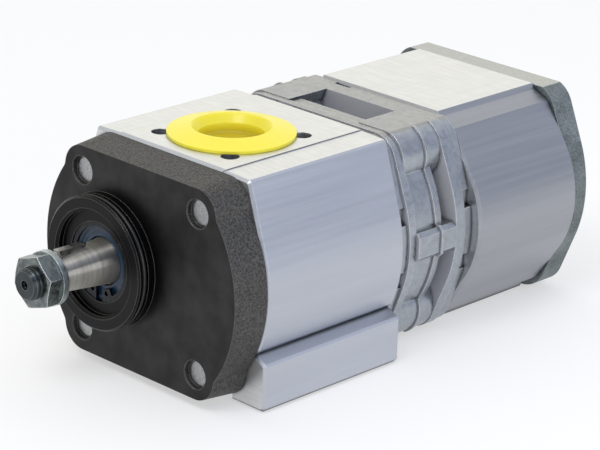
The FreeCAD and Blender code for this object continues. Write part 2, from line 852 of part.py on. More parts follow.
def wall_curves(sign, proud):
    """Section of the thin curved side wall between the bosses, its outside moved out by some."""
    middle = value(MIDDLE_Y)
    inside = value("dowel_reach + wall_out - wall_thick")
    radius = value("dowel_reach + wall_out") + proud
    half = value("wall_half_high")
    outer = math.degrees(math.asin(half / radius))
    inner = math.degrees(math.asin(half / inside))
    away = 0 if sign > 0 else 180
    curves = [arc((middle, 0.0), radius, away - outer, away + outer)]
    curves.append(arc((middle, 0.0), inside, away - inner, away + inner))
    out_x = math.sqrt(radius**2 - half**2)
    in_x = math.sqrt(inside**2 - half**2)
    for up in SIDES:
        curves.append(line((middle + sign * out_x, up * half), (middle + sign * in_x, up * half)))
    return curves


def flat_bosses(radius, top):
    """A round boss about each bolt, cut flat at the housing's top and bottom."""
    half = value(BOLT_HALF)
    middle = value(MIDDLE_Y)
    rise = min(top - half, 0.98 * radius)
    lean = math.degrees(math.asin(rise / radius))
    edge = radius * math.cos(math.radians(lean))
    curves = []
    for sign in SIDES:
        for up in SIDES:
            centre = (middle + sign * half, up * half)
            start = 180 - lean if up > 0 else -lean
            flat = up * (half + rise)
            curves.append(arc(centre, radius, start, start + 180 + 2 * lean))
            curves.append(line((centre[0] - edge, flat), (centre[0] + edge, flat)))
    return curves


def side_boss(body, name, start, length, proud):
    """Square boss with broken corners round the dowel pins, in the middle of both side walls."""
    sketch = new_sketch(body, "YZ_Plane", start, name)
    half = f"(side_boss_half + {proud})"
    for sign in SIDES:
        inner = f"{MIDDLE_Y} + {sign} * (dowel_reach - side_boss_in)"
        shoulder = f"{MIDDLE_Y} + {sign} * (dowel_reach + side_boss_out + {proud} - side_boss_corner)"
        outer = f"{MIDDLE_Y} + {sign} * (dowel_reach + side_boss_out + {proud})"
        corners = [(inner, f"-{half}"), (shoulder, f"-{half}"), (outer, f"-{half} + side_boss_corner")]
        corners += [(outer, f"{half} - side_boss_corner"), (shoulder, half), (inner, half)]
        add_loop(sketch, corners)
    return pad(body, sketch, length)


def shelves(body, start, length):
    """Flat shoulders that reach inward from the bolt bosses, along the top and the bottom."""
    sketch = new_sketch(body, "YZ_Plane", start, "shelves")
    for sign in SIDES:
        for up in SIDES:
            inner = f"{MIDDLE_Y} + {sign} * shelf_in"
            foot = f"{MIDDLE_Y} + {sign} * (shelf_in + shelf_slope)"
            outer = f"{MIDDLE_Y} + {sign} * {BOLT_HALF}"
            top = f"{up} * middle_top"
            low = f"{up} * (middle_top - shelf_deep)"
            add_loop(sketch, [(inner, top), (foot, low), (outer, low), (outer, top)])
    return pad(body, sketch, length)


def block(body, name, start, length, near, far, low, high):
    """Straight-sided piece of a casting, from formulas of its four sides."""
    corners = [(near, low), (far, low), (far, high), (near, high)]
    return pad(body, polygon(body, "YZ_Plane", start, name, corners), length)


def notches(body, name, start, length, boxes):
    """Straight-sided cuts along +X, each from formulas of its near, far, low and high sides."""
    sketch = new_sketch(body, "YZ_Plane", start, name)
    for near, far, low, high in boxes:
        add_loop(sketch, [(near, low), (far, low), (far, high), (near, high)])
    return pocket(body, sketch, length, reverse=True)


def rim_notches(body, name, start, length, radius):
    """Notches in a flange's rim, above and below the middle on both sides."""
    boxes = []
    for sign in SIDES:
        near = f"{MIDDLE_Y} + {sign} * ({radius} - notch_deep)"
        far = f"{MIDDLE_Y} + {sign} * ({radius} + notch_deep)"
        boxes += [(near, far, f"{up} * notch_low", f"{up} * notch_high") for up in SIDES]
    notches(body, name, start, length, boxes)


def pry_slot(body, name, start, length):
    """Shallow slot in the top edge of a flange, where two housings are parted."""
    near = f"{MIDDLE_Y} + slot_near"
    far = f"{MIDDLE_Y} + slot_far"
    notches(body, name, start, length, [(near, far, "middle_top - slot_deep", "middle_top + slot_deep")])


def middle_housing():
    """Die-cast housing between the pumps: two flanges, bolt bosses, thin walls and open windows."""
    body = new_body("middle_housing")
    top = value("middle_top")
    step = value("step_in")
    hollow_at = f"({MIDDLE_AT} + front_flange)"
    hollow_long = "(middle_long - front_flange - rear_flange)"
    rear_flange_at = f"({REAR_BODY_AT} - rear_flange)"
    front_radius = value(FRONT_FLANGE_RADIUS)
    rear_radius = value(REAR_FLANGE_RADIUS)
    lobe_front = value("front_flange_lobe")
    lobe_rear = value("rear_flange_lobe")
    plates = (
        ("front_joint", MIDDLE_AT, "front_step", front_radius - step, lobe_front - step / 2),
        ("front_plate", f"({MIDDLE_AT} + front_step)", "front_flange - front_step", front_radius, lobe_front),
        ("rear_plate", rear_flange_at, "rear_flange - rear_step", rear_radius, lobe_rear),
        ("rear_joint", f"({REAR_BODY_AT} - rear_step)", "rear_step", rear_radius - step, lobe_rear - step / 2),
    )
    core = [("0", "0", "core_radius")]
    pad(body, circles(body, "YZ_Plane", MIDDLE_AT, "core", core), "middle_long")
    for name, start, length, radius, lobe in plates:
        high = min(top, value(BOLT_HALF) + lobe)
        pad(body, outline(body, "YZ_Plane", start, name, flanked_plate(radius, lobe, high)), length)
    tube = [(MIDDLE_Y, "gallery_high", "gallery_dia / 2 + gallery_wall")]
    pad(body, circles(body, "YZ_Plane", hollow_at, "gallery_tube", tube), hollow_long)
    rib_at = f"({MIDDLE_AT} + rib_place)"
    skins = (("", hollow_at, hollow_long, "wall_long", "0"), ("rib_", rib_at, "rib_long", "rib_long", "rib_high"))
    for kind, start, length, wall_length, proud in skins:
        curves = flat_bosses(value(f"boss_radius + {proud}"), top)
        pad(body, outline(body, "YZ_Plane", start, f"{kind}bosses", curves), length)
        side_boss(body, f"{kind}side_bosses", start, length, proud)
        for sign, side in ((1, "left"), (-1, "right")):
            wall = wall_curves(sign, value(proud))
            pad(body, outline(body, "YZ_Plane", start, f"{kind}{side}_wall", wall), wall_length)
    shelves(body, hollow_at, hollow_long)
    left = f"{MIDDLE_Y} + dowel_reach - side_boss_in"
    right = f"{MIDDLE_Y} - dowel_reach + side_boss_in"
    block(body, "side_webs", hollow_at, hollow_long, right, left, "-web_half", "web_half")
    left = f"{MIDDLE_Y} + {BOLT_HALF}"
    right = f"{MIDDLE_Y} - {BOLT_HALF}"
    edge = "middle_top - end_wall_drop"
    casting = block(body, "end_wall", hollow_at, "end_wall_thick", right, left, f"-({edge})", edge)
    casting.Refine = True
    passages = [("0", "0", "coupling_dia / 2 + coupling_hole_slack")]
    passages.append((MIDDLE_Y, "gallery_high", "gallery_dia / 2"))
    passages += bolt_rounds("bolt_dia / 2 + bolt_slack")
    drill(body, "middle_passages", passages, MIDDLE_AT, "middle_long")
    rim_notches(body, "front_notch", MIDDLE_AT, "front_notch_long", FRONT_FLANGE_RADIUS)
    notch_at = f"{REAR_BODY_AT} - rear_notch_long"
    rim_notches(body, "rear_notch", notch_at, "rear_notch_long", REAR_FLANGE_RADIUS)
    pry_slot(body, "front_slot", MIDDLE_AT, "front_slot_long")
    pry_slot(body, "rear_slot", f"{REAR_BODY_AT} - rear_slot_long", "rear_slot_long")
    drill_dowels(body, "middle_front_dowels", MIDDLE_AT, True)
    drill_dowels(body, "middle_rear_dowels", REAR_BODY_AT, False)
    return body


def arc_through(first, second, third):
    """Arc through three points of the sketch plane."""
    ring = Part.Circle(*[FreeCAD.Vector(*spot, 0) for spot in (first, second, third)])
    centre = (ring.Center.x, ring.Center.y)
    start = angle_of(centre, first)
    to_second = (angle_of(centre, second) - start) % 360
    to_third = (angle_of(centre, third) - start) % 360
    if to_second < to_third:
        return arc(centre, ring.Radius, start, start + to_third)
    return arc(centre, ring.Radius, start + to_third, start + 360)


def gear_curves(centre, first_tooth):
    """Spur gear outline with involute flanks, the first tooth's middle at the given angle."""
    teeth = int(value("teeth"))
    pitch_radius = value("gear_spacing / 2")
    tip = value(TIP_RADIUS)
    root = value(f"gear_spacing - {TIP_RADIUS} - root_slack")
    press = math.radians(value("pressure_angle"))
    base = pitch_radius * math.cos(press)
    half_at_pitch = math.pi / (2 * teeth) - value("backlash") / (4 * pitch_radius)
    half_at_base = half_at_pitch + math.tan(press) - press

    def half_angle(radius):
        spread = math.acos(min(1.0, base / radius))
        return math.degrees(half_at_base - (math.tan(spread) - spread))

    curves = []
    step = 360 / teeth
    radii = (base, (base + tip) / 2, tip)
    for i in range(teeth):
        middle = first_tooth + i * step
        sides = {}
        for sign in SIDES:
            flank = [on_circle(centre, r, middle + sign * half_angle(r)) for r in radii]
            foot = on_circle(centre, root, middle + sign * half_angle(base))
            curves.append(line(foot, flank[0]))
            curves.append(arc_through(*flank))
            sides[sign] = half_angle(tip)
        curves.append(arc(centre, tip, middle - sides[-1], middle + sides[1]))
        gap = half_angle(base)
        curves.append(arc(centre, root, middle + gap, middle + step - gap))
    return curves


def add_gear(body, name, start, width, axis_y, first_tooth):
    """Teeth of one gear on its shaft."""
    curves = gear_curves((value(axis_y), 0.0), first_tooth)
    return pad(body, outline(body, "YZ_Plane", start, name, curves), width)


def tongue_curves(slack):
    """Round shaft end with two flats, for the coupling."""
    radius = value("tongue_dia / 2") + slack
    half = value("tongue_flats / 2") + slack
    lean = math.degrees(math.asin(half / radius))
    edge = math.sqrt(radius**2 - half**2)
    curves = [arc((0.0, 0.0), radius, -lean, lean), arc((0.0, 0.0), radius, 180 - lean, 180 + lean)]
    for up in SIDES:
        curves.append(line((-edge, up * half), (edge, up * half)))
    return curves


FRONT_GEAR_AT = f"({INLET_X} - front_gear_wide / 2)"
FRONT_GEAR_END = f"({INLET_X} + front_gear_wide / 2)"
REAR_GEAR_AT = f"({REAR_GEAR_MIDDLE} - rear_gear_wide / 2)"
REAR_GEAR_END = f"({REAR_GEAR_MIDDLE} + rear_gear_wide / 2)"


def drive_shaft():
    """Drive shaft with the front drive gear cut on it, a keyed taper and a threaded stub."""
    body = new_body("drive_shaft")
    small_end = "(-taper_start - taper_long)"
    small_radius = "taper_big_dia / 2 - taper_long / taper_ratio / 2"
    turn(
        body,
        "shaft",
        [
            ("-stub_end", "0"),
            ("-stub_end", "thread_dia / 2 - stub_chamfer"),
            ("-stub_end + stub_chamfer", "thread_dia / 2"),
            (small_end, "thread_dia / 2"),
            (small_end, small_radius),
            ("-taper_start", "taper_big_dia / 2"),
            ("-taper_start + taper_lead", "journal_dia / 2"),
            (MIDDLE_AT, "journal_dia / 2"),
            (MIDDLE_AT, "0"),
        ],
    )
    pad(body, outline(body, "YZ_Plane", MIDDLE_AT, "tongue", tongue_curves(0.0)), "front_tongue_long")
    add_gear(body, "front_teeth", FRONT_GEAR_AT, "front_gear_wide", "0", 180)
    key_middle = "key_top - key_high + key_dia / 2"
    seat = circles(body, "XZ_Plane", "0", "key_seat", [("-key_place", key_middle, "key_dia / 2 + seat_slack")])
    pocket(body, seat, "key_wide + 2 * seat_slack", both_ways=True)
    hole = [("0", "0", "centre_hole_dia / 2")]
    drill(body, "centre_hole", hole, "-stub_end", "centre_hole_deep")
    return body


def driven_gear(name, start, width, end_front, end_rear):
    """Driven gear with the journals that its teeth are cut on."""
    body = new_body(name)
    axis = "-gear_spacing"
    radius = "journal_dia / 2"
    spindle = circles(body, "YZ_Plane", end_front, f"{name}_spindle", [(axis, "0", radius)])
    pad(body, spindle, f"{end_rear} - {end_front}")
    half_step = 180 / int(value("teeth"))
    add_gear(body, f"{name}_teeth", start, width, axis, half_step)
    return body


def rear_drive_gear():
    """Rear drive gear with its journals and the tongue that enters the coupling."""
    body = new_body("rear_drive_gear")
    spindle = circles(body, "YZ_Plane", REAR_BODY_AT, "rear_spindle", [("0", "0", "journal_dia / 2")])
    pad(body, spindle, "rear_body_long - journal_short")
    add_gear(body, "rear_teeth", REAR_GEAR_AT, "rear_gear_wide", "0", 180)
    start = f"{REAR_BODY_AT} - rear_tongue_long"
    pad(body, outline(body, "YZ_Plane", start, "rear_tongue", tongue_curves(0.0)), "rear_tongue_long")
    return body


def shaft_coupling():
    """Sleeve that slides over the tongues of both shafts."""
    body = new_body("shaft_coupling")
    start = f"{MIDDLE_AT} + middle_long / 2 - coupling_long / 2"
    sleeve = circles(body, "YZ_Plane", start, "sleeve", [("0", "0", "coupling_dia / 2")])
    pad(body, sleeve, "coupling_long")
    inside = outline(body, "YZ_Plane", start, "tongue_hole", tongue_curves(value("seat_slack")))
    pocket(body, inside, "coupling_long", reverse=True)
    return body


def bearing_block(name, start, end, seal_at_front):
    """Bearing block that fills the gear bores beside the gears, grooved for its pressure seal."""
    body = new_body(name)
    radius = value(f"{BORE_RADIUS} - block_slack")
    pad(body, outline(body, "YZ_Plane", start, f"{name}_blank", figure_eight(radius)), f"{end} - {start}")
    bush = "journal_dia / 2 + running_slack + bush_wall"
    holes = [("0", "0", bush), ("-gear_spacing", "0", bush)]
    drill(body, f"{name}_bores", holes, start, f"{end} - {start}")
    face = start if seal_at_front else f"{end} - block_seal_deep"
    doc.recompute()
    before = body.Shape.Volume
    curves = block_seal_curves(0.0)
    groove = body.newObject("PartDesign::Pocket", f"{name}_groove")
    groove.Profile = outline(body, "YZ_Plane", face, f"{name}_groove_line", curves)
    groove.setExpression("Length", S("block_seal_deep"))
    groove.Reversed = True
    cut_check(body, before, groove)
    return body


def block_seal_curves(slack):
    """Outline shaped like a 3 round the tops of both bores, open at the outlet side."""
    spacing = value("gear_spacing")
    low = value("block_seal_low") - slack
    out = value("block_seal_out") - slack
    inside = value("block_seal_in") + slack
    drive = (0.0, 0.0)
    driven = (-spacing, 0.0)
    crossing = math.degrees(math.acos(spacing / 2 / out))
    out_down = math.degrees(math.asin(low / out))
    in_down = math.degrees(math.asin(low / inside))
    curves = [arc(drive, out, -out_down, 180 - crossing), arc(driven, out, crossing, 180 + out_down)]
    curves += [arc(drive, inside, -in_down, 180), arc(driven, inside, 0, 180 + in_down)]
    curves.append(line((-inside, 0.0), (inside - spacing, 0.0)))
    out_x = math.sqrt(out**2 - low**2)
    in_x = math.sqrt(inside**2 - low**2)
    for centre, sign in ((0.0, 1), (-spacing, -1)):
        curves.append(line((centre + sign * in_x, -low), (centre + sign * out_x, -low)))
    return curves


def block_seal(name, start):
    """Pressure seal in a bearing block's groove."""
    body = new_body(name)
    curves = block_seal_curves(value("seat_slack"))
    pad(body, outline(body, "YZ_Plane", start, f"{name}_line", curves), "block_seal_deep")
    return body


def bushes(name, start, end):
    """Two plain bearing bushes of one block, one about each gear axis."""
    body = new_body(name, loose_pieces=True)
    rings = []
    for axis in ("0", "-gear_spacing"):
        rings.append((axis, "0", "journal_dia / 2 + running_slack + bush_wall"))
        rings.append((axis, "0", "journal_dia / 2 + running_slack"))
    sketch = circles(body, "YZ_Plane", f"{start} + bush_short / 2", f"{name}_rings", rings)
    pad(body, sketch, f"{end} - {start} - bush_short")
    return body


def section_seal(name, start):
    """Ring seal in the groove of a body's end face."""
    body = new_body(name)
    curves = ring_curves(value("seat_slack"))
    pad(body, outline(body, "YZ_Plane", start, f"{name}_line", curves), "ring_deep")
    return body


def shaft_seal():
    """Lip seal: stiff outer ring, front wall, dust lip and sealing lip."""
    front = "(-pilot_high + recess_deep + clip_setback + clip_thick)"
    back = f"({front} + seal_thick)"
    outer = "seal_bore_dia / 2 - seat_slack"
    lip = "journal_dia / 2 + seal_lip_slack"
    body = new_body("shaft_seal")
    turn(
        body,
        "seal_section",
        [
            (front, outer),
            (back, outer),
            (back, "seal_bore_dia / 2 - seal_wall"),
            (f"{front} + seal_wall", "seal_bore_dia / 2 - seal_wall"),
            (f"{front} + seal_wall", f"{lip} + 1.5 * seal_wall"),
            (f"{back} - seal_wall", f"{lip} + 1.2 * seal_wall"),
            (f"{back} - seal_wall", f"{lip} + seal_wall / 2"),
            (f"{back} - 1.5 * seal_wall", lip),
            (f"{front} + 1.2 * seal_wall", f"{lip} + seal_wall / 2"),
            (f"{front} + seal_wall / 4", lip),
            (f"{front} + seal_wall / 5", f"{lip} + seal_wall / 2"),
            (f"{front} + seal_wall / 3", f"{lip} + seal_wall"),
            (f"{front} + seal_wall / 3", "seal_bore_dia / 2 - 1.5 * seal_wall"),
            (front, "seal_bore_dia / 2 - seal_wall"),
        ],
    )
    return body


def ear_curves():
    """Inward ears on both sides of the retaining ring's gap, before the gap is cut."""
    outer = value("seal_bore_dia / 2 - clip_wide / 2")
    inner = value("seal_bore_dia / 2 + clip_bite - clip_wide - clip_ear")
    lean = value("clip_ear_angle")
    low = (-90 - lean, -90 + lean)
    curves = [arc((0.0, 0.0), outer, *low), arc((0.0, 0.0), inner, *low)]
    for angle in low:
        curves.append(line(on_circle((0.0, 0.0), inner, angle), on_circle((0.0, 0.0), outer, angle)))
    return curves


def retaining_ring():
    """Ring in the groove in front of the seal, with two pierced ears at its gap."""
    start = "(-pilot_high + recess_deep + clip_setback + seat_slack)"
    length = "clip_thick - 2 * seat_slack"
    body = new_body("retaining_ring")
    outer = "seal_bore_dia / 2 + clip_bite - seat_slack"
    inner = "seal_bore_dia / 2 + clip_bite - clip_wide"
    hoop = circles(body, "YZ_Plane", start, "hoop", [("0", "0", outer), ("0", "0", inner)])
    pad(body, hoop, length)
    pad(body, outline(body, "YZ_Plane", start, "ears", ear_curves()), length)
    half = "clip_gap / 2"
    notches(body, "hoop_gap", start, length, [(f"-{half}", half, "-seal_bore_dia", "-seal_bore_dia / 4")])
    ear_middle = "(seal_bore_dia / 2 + clip_bite - clip_wide - clip_ear / 2)"
    spots = []
    for sign in SIDES:
        spots.append(
            (
                f"{sign} * {ear_middle} * sin(clip_ear_angle * 0.62)",
                f"-{ear_middle} * cos(clip_ear_angle * 0.62)",
                "clip_hole_dia / 2",
            )
        )
    drill(body, "ear_holes", spots, start, length)
    return body


def pilot_o_ring():
    """Rubber ring lying in the pilot's groove."""
    body = new_body("pilot_o_ring")
    radius = "(ring_groove_deep / 2 - seat_slack)"
    middle = "-ring_groove_back - ring_groove_wide / 2"
    section = circles(body, "XZ_Plane", "0", "ring_section", [(middle, "pilot_dia / 2 - ring_groove_deep / 2", radius)])
    feature = body.newObject("PartDesign::Revolution", "ring_turned")
    feature.Profile = section
    feature.ReferenceAxis = (section, ["H_Axis"])
    feature.Angle = 360
    doc.recompute()
    return body


def dowel_pins():
    """Two pins in each of the four joints."""
    body = new_body("dowel_pins", loose_pieces=True)
    rounds = [(across, up, f"{radius} - seat_slack") for across, up, radius in dowel_rounds()]
    joints = (("a", FRONT_BODY_AT), ("b", MIDDLE_AT), ("c", REAR_BODY_AT), ("d", REAR_COVER_AT))
    for mark, face in joints:
        start = f"{face} - dowel_long / 2 + seat_slack"
        sketch = circles(body, "YZ_Plane", start, f"pins_{mark}", rounds)
        pad(body, sketch, "dowel_long - 2 * seat_slack")
    return body


def hexagon(body, name, start, flats, turned, middles):
    """Sketch of a regular hexagon about each given middle."""
    sketch = new_sketch(body, "YZ_Plane", start, name)
    radius = value(flats) / math.sqrt(3)
    for middle in middles:
        spots = [on_circle(middle, radius, value(turned) + 30 + 60 * i) for i in range(6)]
        for first, second in zip(spots, spots[1:] + spots[:1]):
            sketch.addGeometry(line(first, second))
    return sketch


def tie_bolts():
    """Four socket-head bolts that hold the whole stack together."""
    body = new_body("tie_bolts", loose_pieces=True)
    seat = f"({REAR_END} - head_sink)"
    radius = "bolt_dia / 2 - running_slack"
    tip = circles(body, "YZ_Plane", "bolt_end_setback", "bolt_tips", bolt_rounds(f"{radius} - bolt_end_chamfer"))
    pad(body, tip, "bolt_end_chamfer")
    start = "(bolt_end_setback + bolt_end_chamfer / 2)"
    pad(body, circles(body, "YZ_Plane", start, "shanks", bolt_rounds(radius)), f"{seat} - {start}")
    pad(body, circles(body, "YZ_Plane", seat, "heads", bolt_rounds("head_dia / 2")), "head_high")
    half = value(BOLT_HALF)
    middles = [(value(MIDDLE_Y) + across * half, up * half) for across in SIDES for up in SIDES]
    floor = f"{seat} + head_high - socket_deep"
    pocket(body, hexagon(body, "sockets", floor, "socket_flats", "0", middles), "socket_deep", reverse=True)
    return body


def hex_nut():
    """Thin nut on the threaded stub, its corners broken at both ends."""
    body = new_body("hex_nut")
    washer_face = "(-taper_start - taper_long - washer_setback)"
    back = f"({washer_face} - washer_thick)"
    front = f"({back} - nut_high)"
    pad(body, hexagon(body, "nut", front, "nut_flats", "nut_turn", [(0.0, 0.0)]), "nut_high")
    drill(body, "nut_thread", [("0", "0", "thread_dia / 2 + seat_slack")], front, "nut_high")
    corner = "(nut_flats / sqrt(3))"
    flat = "(nut_flats / 2)"
    for name, face, inward in (("front_bevel", front, 1), ("back_bevel", back, -1)):
        edge = f"({face} + {inward} * ({corner} - {flat}) * 0.58)"
        turned_cut(body, name, [(face, f"{flat} * 0.98"), (face, f"{corner} * 1.1"), (edge, f"{corner} * 1.1")])
    return body


def spring_washer():
    """Split washer between the nut and the hub that the taper carries."""
    body = new_body("spring_washer")
    start = "(-taper_start - taper_long - washer_setback - washer_thick)"
    rings = [("0", "0", "washer_dia / 2"), ("0", "0", "thread_dia / 2 + running_slack")]
    pad(body, circles(body, "YZ_Plane", start, "washer_rings", rings), "washer_thick")
    half = "washer_gap / 2"
    notches(body, "split", start, "washer_thick", [(f"-{half}", half, "-washer_dia", "0")])
    return body


def shaft_key():
    """Half-round key standing in the taper's seat."""
    body = new_body("shaft_key")
    radius = value("key_dia / 2")
    rise = value("key_high") - radius
    middle = (-value("key_place"), value("key_top") - rise)
    lean = math.degrees(math.asin(rise / radius))
    edge = radius * math.cos(math.radians(lean))
    curves = [arc(middle, radius, 180 - lean, 360 + lean)]
    top = value("key_top")
    curves.append(line((middle[0] - edge, top), (middle[0] + edge, top)))
    feature = pad(body, outline(body, "XZ_Plane", "0", "key_side", curves), "key_wide")
    feature.Midplane = True
    doc.recompute()
    return body


def inlet_plug():
    """Pushed-in plastic plug that closes the inlet port for transport."""
    body = new_body("inlet_plug")
    stem = "inlet_dia / 2 - plug_slack"
    base = "front_pad_high"
    rim = f"({base} + plug_rim_high)"
    floor = f"({rim} - plug_cup_deep)"
    bottom = f"({base} - plug_skirt)"
    corners = [
        ("0", floor),
        ("plug_floor_dia / 2", floor),
        ("plug_floor_dia / 2 + plug_skin / 4", f"{floor} + plug_skin / 2"),
        ("plug_throat_dia / 2", base),
        ("plug_cup_dia / 2", f"{rim} - plug_skin / 2"),
        ("plug_cup_dia / 2 + plug_skin / 2", rim),
        ("plug_rim_dia / 2", rim),
        ("plug_dia / 2", f"{base} + plug_edge"),
        ("plug_dia / 2", base),
        (stem, base),
        (stem, f"{bottom} + plug_skin / 2"),
        (f"{stem} - plug_skin / 2", bottom),
        (f"{stem} - plug_skin", bottom),
        (f"{stem} - plug_skin", f"{floor} - plug_skin"),
        ("0", f"{floor} - plug_skin"),
    ]
    sketch = polygon(body, "XZ_Plane", "gear_spacing / 2", "plug_section", corners)
    sketch.setExpression("AttachmentOffset.Base.x", S(INLET_X))
    feature = body.newObject("PartDesign::Revolution", "plug_turned")
    feature.Profile = sketch
    feature.ReferenceAxis = (sketch, ["V_Axis"])
    feature.Angle = 360
    doc.recompute()
    return body


def sealed_blocks():
    """The four bearing blocks with their bushes and seals, counted from the shaft end."""
    spans = (
        (FRONT_BODY_AT, f"({FRONT_GEAR_AT} - side_slack)", True),
        (f"({FRONT_GEAR_END} + side_slack)", MIDDLE_AT, False),
        (REAR_BODY_AT, f"({REAR_GEAR_AT} - side_slack)", True),
        (f"({REAR_GEAR_END} + side_slack)", REAR_COVER_AT, False),
    )
    for number, (start, end, seal_at_front) in enumerate(spans, 1):
        bearing_block(f"bearing_block_{number}", start, end, seal_at_front)
        bushes(f"bushes_{number}", start, end)
        face = start if seal_at_front else f"({end} - block_seal_deep)"
        block_seal(f"block_seal_{number}", face)
        face = start if seal_at_front else f"({end} - ring_deep)"
        section_seal(f"section_seal_{number}", face)


front_cover()
front_body()
middle_housing()
rear_body()
rear_cover()
drive_shaft()
shaft_key()
hex_nut()
spring_washer()
shaft_coupling()
rear_drive_gear()
driven_gear(
    "front_driven_gear",
    FRONT_GEAR_AT,
    "front_gear_wide",
    f"({FRONT_BODY_AT} + journal_short)",
    f"({MIDDLE_AT} - journal_short)",
)
driven_gear(
    "rear_driven_gear",
    REAR_GEAR_AT,
    "rear_gear_wide",
    f"({REAR_BODY_AT} + journal_short)",
    f"({REAR_COVER_AT} - journal_short)",
)
sealed_blocks()
shaft_seal()
retaining_ring()
pilot_o_ring()
dowel_pins()
tie_bolts()
inlet_plug()

doc.recompute()
for item in doc.Objects:
    if "Invalid" in item.State or "Error" in item.State:
        raise RuntimeError(f"{item.Label} did not compute")
os.makedirs("parts", exist_ok=True)
for body in nodes:
    if body.Shape.isNull() or not body.Shape.isValid():
        raise RuntimeError(f"{body.Label} has no valid shape")
    body.Shape.exportStep(f"parts/{body.Label}.step")
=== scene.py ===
# %% [markdown]
# # A tandem gear pump
#
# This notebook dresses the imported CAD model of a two-stage hydraulic gear pump.
# The pump is a stack: a cast-iron front cover, an extruded aluminium body, a die-cast middle
# housing, a second extruded body and a cast rear cover. A ground steel shaft comes out in front.
# The CAD model already has every true shape, so the work here is mostly in the surfaces: how each
# piece was made decides its grain, its gloss and how sharp its edges look.

# %% Load the frame
import math

import bpy
from mathutils import Matrix, Vector


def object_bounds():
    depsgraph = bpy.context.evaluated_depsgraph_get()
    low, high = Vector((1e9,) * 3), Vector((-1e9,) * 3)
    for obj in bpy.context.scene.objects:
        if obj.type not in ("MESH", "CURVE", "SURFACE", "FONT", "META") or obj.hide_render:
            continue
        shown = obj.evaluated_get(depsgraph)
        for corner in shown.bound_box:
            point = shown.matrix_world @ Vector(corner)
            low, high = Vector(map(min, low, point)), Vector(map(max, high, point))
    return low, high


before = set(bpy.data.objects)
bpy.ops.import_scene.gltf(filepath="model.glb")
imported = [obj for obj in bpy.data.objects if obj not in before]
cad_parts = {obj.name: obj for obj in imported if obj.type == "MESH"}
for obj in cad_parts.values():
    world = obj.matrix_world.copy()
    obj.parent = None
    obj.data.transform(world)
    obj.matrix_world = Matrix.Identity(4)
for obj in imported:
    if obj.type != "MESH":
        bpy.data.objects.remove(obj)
cad_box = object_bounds()
MM = 0.001

# %% [markdown]
# ## Colours and nodes
#
# Colours are read off as sRGB hex values, the way a colour picker shows them. Blender's shaders
# work in linear light, so one function turns each hex value into linear numbers. A second small
# function adds a node, sets its options and fills its sockets, so each material below reads as a
# short list of steps.


# %% Two helpers
def linear(hex_colour):
    """Linear RGBA from an sRGB hex value."""
    channels = [int(hex_colour[i : i + 2], 16) / 255 for i in (1, 3, 5)]
    bent = [c / 12.92 if c <= 0.04045 else ((c + 0.055) / 1.055) ** 2.4 for c in channels]
    return (*bent, 1.0)


def add(tree, kind, sockets=None, **options):
    """Add a node, set its options, then fill or link its input sockets."""
    node = tree.nodes.new(kind)
    for option, setting in options.items():
        setattr(node, option, setting)
    for socket, source in (sockets or {}).items():
        if isinstance(source, bpy.types.NodeSocket):
            tree.links.new(source, node.inputs[socket])
        else:
            node.inputs[socket].default_value = source
    return node


print("mid grey in linear light:", round(linear("#808080")[0], 3))

# %% [markdown]
# ## Grain
#
# Most of the pump is bare metal, and what tells one metal part from another is its grain. An
# extruded body has fine lines along the direction it was pushed through the die. A casting has a
# speckled skin. A ground or turned surface has fine rings round its axis. All of these are noise,
# stretched in different directions, so one function makes stretched noise of a size in millimetres
# and each material chooses the stretch. A second function gives a surface its fine relief and
# rounds its edges by a hair, since no real edge is perfectly sharp: that hair is what catches light.
# A third lightens the edges, partly as wear, where handling rubs the skin off first, and partly as a
# painted highlight. A fourth paints shade into the gaps and inner corners.
#
# Several finishes tell one face of a piece from another by the direction it looks in. A face looks
# along an axis when nine tenths of its normal or more lie along it, and it is level when nearly all
# of its normal points up.

# %% Limits for a face's direction
ALONG_AXIS = 0.9
LEVEL = 0.97
print("along an axis: within", round(math.degrees(math.acos(ALONG_AXIS))), "degrees")
print("level: within", round(math.degrees(math.acos(LEVEL))), "degrees")


# %% Start of a finish, its grain and its relief
def new_finish(name, metallic, roughness):
    """A material with its tree, its shader and the piece's own coordinates."""
    material = bpy.data.materials.new(name)
    material.use_nodes = True
    tree = material.node_tree
    tree.nodes.clear()
    shader = add(tree, "ShaderNodeBsdfPrincipled", {"Metallic": metallic, "Roughness": roughness})
    add(tree, "ShaderNodeOutputMaterial", {"Surface": shader.outputs["BSDF"]})
    place = add(tree, "ShaderNodeTexCoord")
    return material, tree, shader, place


def grain(tree, place, size_mm, stretch=(1, 1, 1), low=0.35, high=0.65):
    """Noise from 0 to 1 with blotches size_mm wide, drawn out where stretch is small."""
    scaled = add(tree, "ShaderNodeMapping", {"Vector": place.outputs["Object"], "Scale": stretch})
    sockets = {"Vector": scaled.outputs["Vector"], "Scale": 1 / (size_mm * MM), "Detail": 3.0}
    noise = add(tree, "ShaderNodeTexNoise", sockets)
    sockets = {"Value": noise.outputs["Fac"], "From Min": low, "From Max": high}
    return add(tree, "ShaderNodeMapRange", sockets).outputs["Result"]


def relief(tree, shader, height, depth_mm, edge_mm):
    """Fine relief of a given depth, on edges rounded by a hair."""
    edge = add(tree, "ShaderNodeBevel", {"Radius": edge_mm * MM}, samples=4)
    sockets = {"Height": height, "Distance": depth_mm * MM, "Normal": edge.outputs["Normal"]}
    bump = add(tree, "ShaderNodeBump", sockets)
    tree.links.new(bump.outputs["Normal"], shader.inputs["Normal"])


